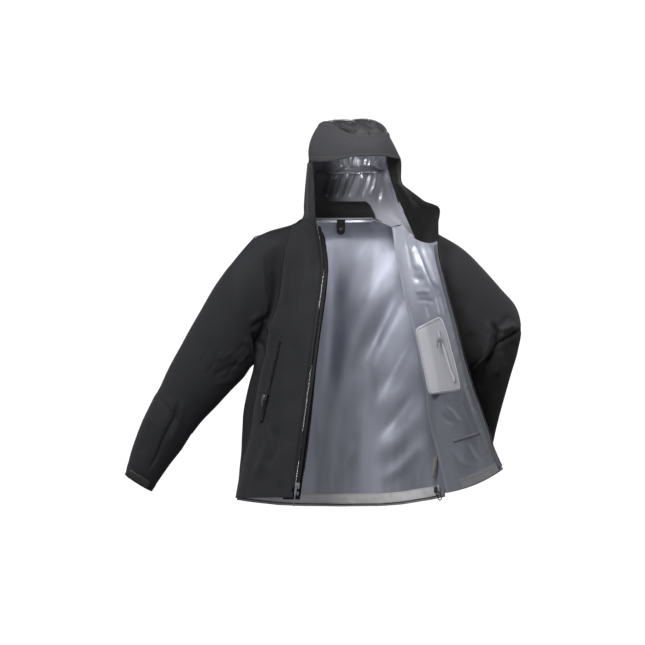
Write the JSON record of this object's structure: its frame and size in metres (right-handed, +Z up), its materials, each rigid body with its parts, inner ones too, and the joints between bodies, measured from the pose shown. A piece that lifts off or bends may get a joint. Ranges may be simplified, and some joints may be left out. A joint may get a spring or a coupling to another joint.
{
  "type": "hooded shell jacket",
  "caption": "Hooded hardshell jacket hanging from its neck loop, one front folded open to show the lining, with hinged sleeves, hood, brim, zip sliders and cord locks.",
  "frame": {"origin": "centre of the hang loop eye at the inside back of the neck", "axes": "+Z up, -Y towards the front of the jacket, +X towards the wearer's left"},
  "size_m": [1.0094, 0.3842, 0.998],
  "materials": {
    "shell": "matte fine weave",
    "brim_cloth": "matte laminated",
    "lining": "satin silver",
    "pocket_cloth": "satin light grey",
    "hem_tape": "satin tape",
    "black_trim": "matte brushed",
    "zip_tape": "water-resistant film",
    "coil": "reverse coil",
    "hardware": "semi-gloss",
    "moulded": "moulded",
    "cord": "braided",
    "silver_piping": "satin",
    "label_cloth": "woven"
  },
  "bodies": {
    "torso": {"back_panel": "shell", "back_yoke": "shell", "right_side_panel": "shell", "left_side_panel": "shell", "back_hem_band": "hem_tape", "hem_cord": "cord", "neck_piping": "silver_piping", "hang_loop": "black_trim", "care_label": "label_cloth", "hem_lock_bodies": "moulded"},
    "right_front": {"right_front_panel": "shell", "right_hem_band": "hem_tape", "right_storm_flap": "shell", "right_zip_tape": "zip_tape", "right_zip_teeth": "coil", "zip_retainer_box": "moulded", "right_pocket_bag": "lining", "right_pocket_zip": "zip_tape"},
    "left_front": {"left_front_panel": "shell", "left_hem_band": "hem_tape", "left_zip_tape": "zip_tape", "left_zip_teeth": "coil", "zip_insertion_pin": "moulded", "left_pocket_bag": "lining", "left_pocket_zip": "zip_tape", "inner_pocket": "pocket_cloth", "inner_pocket_zip": "zip_tape"},
    "hood": {"hood_centre_panel": "shell", "hood_right_panel": "shell", "hood_left_panel": "shell", "hood_cinch_cord": "cord", "cinch_lock_body": "moulded", "neck_facing": "black_trim"},
    "hood_right_edge": {"hood_right_edge_binding": "black_trim"},
    "hood_left_edge": {"hood_left_edge_binding": "black_trim"},
    "right_collar": {"right_chin_guard": "black_trim"},
    "left_collar": {"left_chin_guard": "black_trim"},
    "brim": {"hood_brim": "brim_cloth"},
    "right_upper_arm": {"right_upper_sleeve": "shell"},
    "right_forearm": {"right_lower_sleeve": "shell", "right_cuff_band": "shell", "right_cuff_loop_patch": "black_trim"},
    "left_upper_arm": {"left_upper_sleeve": "shell"},
    "left_forearm": {"left_lower_sleeve": "shell", "left_cuff_band": "shell", "left_cuff_loop_patch": "black_trim"},
    "right_tab": {"right_cuff_tab": "black_trim"},
    "left_tab": {"left_cuff_tab": "black_trim"},
    "main_slider": {"main_zip_slider": "hardware"},
    "main_pull": {"main_zip_pull": "cord"},
    "right_pocket_slide": {"right_pocket_slider": "hardware"},
    "right_pocket_tag": {"right_pocket_pull": "cord"},
    "left_pocket_slide": {"left_pocket_slider": "hardware"},
    "left_pocket_tag": {"left_pocket_pull": "cord"},
    "inner_pocket_slide": {"inner_pocket_slider": "hardware"},
    "inner_pocket_tag": {"inner_pocket_pull": "cord"},
    "cinch_button": {"cinch_lock_button": "moulded"},
    "right_hem_button": {"right_hem_lock_button": "moulded"},
    "left_hem_button": {"left_hem_lock_button": "moulded"}
  },
  "joints": [
    {"name": "right_front_swing", "type": "hinge", "parent": "torso", "child": "right_front", "pos_m": [-0.1318, -0.062, 0], "axis": [0.1981, -0.0029, 0.9802], "range_deg": [-38, 10]},
    {"name": "left_front_swing", "type": "hinge", "parent": "torso", "child": "left_front", "pos_m": [0.1318, -0.062, 0], "axis": [0.1981, 0.0029, -0.9802], "range_deg": [-4, 88]},
    {"name": "hood_tilt", "type": "hinge", "parent": "torso", "child": "hood", "pos_m": [0, 0.03, 0.02], "axis": [-1, 0, 0], "range_deg": [0, 75]},
    {"name": "hood_right_edge_turn", "type": "hinge", "parent": "hood", "child": "hood_right_edge", "pos_m": [-0.1318, -0.062, 0], "axis": [0.1981, -0.0029, 0.9802], "range_deg": [-38, 10]},
    {"name": "hood_left_edge_turn", "type": "hinge", "parent": "hood", "child": "hood_left_edge", "pos_m": [0.1318, -0.062, 0], "axis": [0.1981, 0.0029, -0.9802], "range_deg": [-4, 88]},
    {"name": "right_collar_tilt", "type": "hinge", "parent": "right_front", "child": "right_collar", "pos_m": [0, 0.03, 0.02], "axis": [-1, 0, 0], "range_deg": [0, 75]},
    {"name": "left_collar_tilt", "type": "hinge", "parent": "left_front", "child": "left_collar", "pos_m": [0, 0.03, 0.02], "axis": [-1, 0, 0], "range_deg": [0, 75]},
    {"name": "brim_flip", "type": "hinge", "parent": "hood", "child": "brim", "pos_m": [0.03, -0.15, 0.239], "axis": [-1, 0, 0], "range_deg": [0, 100]},
    {"name": "right_shoulder_raise", "type": "hinge", "parent": "torso", "child": "right_upper_arm", "pos_m": [-0.221, -0.045, -0.017], "axis": [0, 1, 0], "range_deg": [0, 55]},
    {"name": "left_shoulder_raise", "type": "hinge", "parent": "torso", "child": "left_upper_arm", "pos_m": [0.221, -0.038, -0.017], "axis": [0, -1, 0], "range_deg": [0, 45]},
    {"name": "right_elbow_bend", "type": "hinge", "parent": "right_upper_arm", "child": "right_forearm", "pos_m": [-0.422, -0.045, -0.467], "axis": [-0.8671, 0, 0.4981], "range_deg": [0, 70]},
    {"name": "left_elbow_bend", "type": "hinge", "parent": "left_upper_arm", "child": "left_forearm", "pos_m": [0.398, -0.038, -0.292], "axis": [0, 1, 0], "range_deg": [-50, 0]},
    {"name": "right_cuff_tab_peel", "type": "hinge", "parent": "right_forearm", "child": "right_tab", "pos_m": [-0.48685, -0.09, -0.65428], "axis": [0.3893, 0, 0.9211], "range_deg": [0, 80]},
    {"name": "left_cuff_tab_peel", "type": "hinge", "parent": "left_forearm", "child": "left_tab", "pos_m": [0.29437, 0.007, -0.61123], "axis": [0.2348, 0, 0.972], "range_deg": [0, 80]},
    {"name": "main_slider_travel", "type": "slide", "parent": "right_front", "child": "main_slider", "axis": [0.1286, 0.1678, 0.9774], "range_m": [0, 0.46]},
    {"name": "main_pull_swing", "type": "hinge", "parent": "main_slider", "child": "main_pull", "pos_m": [-0.11142, -0.26941, -0.63731], "axis": [-0.9061, 0.4205, 0.047], "range_deg": [0, 90]},
    {"name": "right_pocket_slider_travel", "type": "slide", "parent": "right_front", "child": "right_pocket_slide", "axis": [0.2155, -0.0024, 0.9765], "range_m": [-0.05, 0.128]},
    {"name": "right_pocket_pull_swing", "type": "hinge", "parent": "right_pocket_slide", "child": "right_pocket_tag", "pos_m": [-0.19834, -0.14787, -0.42413], "axis": [-0.5552, 0.8223, 0.1245], "range_deg": [0, 90]},
    {"name": "left_pocket_slider_travel", "type": "slide", "parent": "left_front", "child": "left_pocket_slide", "axis": [-0.2186, 0.0598, 0.974], "range_m": [-0.16, 0]},
    {"name": "left_pocket_pull_swing", "type": "hinge", "parent": "left_pocket_slide", "child": "left_pocket_tag", "pos_m": [0.25359, -0.10452, -0.28634], "axis": [0.5714, -0.8013, 0.1775], "range_deg": [0, 90]},
    {"name": "inner_pocket_slider_travel", "type": "slide", "parent": "left_front", "child": "inner_pocket_slide", "axis": [-0.241, 0.1272, 0.9622], "range_m": [-0.09, 0]},
    {"name": "inner_pocket_pull_swing", "type": "hinge", "parent": "inner_pocket_slide", "child": "inner_pocket_tag", "pos_m": [0.2406, -0.1493, -0.28216], "axis": [-0.5001, 0.8333, -0.2355], "range_deg": [0, 90]},
    {"name": "cinch_button_press", "type": "slide", "parent": "hood", "child": "cinch_button", "axis": [0, 0, -1], "range_m": [0, 0.002], "stiffness_N_per_m": 400},
    {"name": "right_hem_button_press", "type": "slide", "parent": "torso", "child": "right_hem_button", "axis": [0, 0, -1], "range_m": [0, 0.002], "stiffness_N_per_m": 400},
    {"name": "left_hem_button_press", "type": "slide", "parent": "torso", "child": "left_hem_button", "axis": [0, 0, -1], "range_m": [0, 0.002], "stiffness_N_per_m": 400}
  ],
  "couplings": [
    {"joint": "hood_right_edge_turn", "follows": "right_front_swing", "ratio": 1},
    {"joint": "hood_left_edge_turn", "follows": "left_front_swing", "ratio": 1},
    {"joint": "right_collar_tilt", "follows": "hood_tilt", "ratio": 1},
    {"joint": "left_collar_tilt", "follows": "hood_tilt", "ratio": 1}
  ]
}
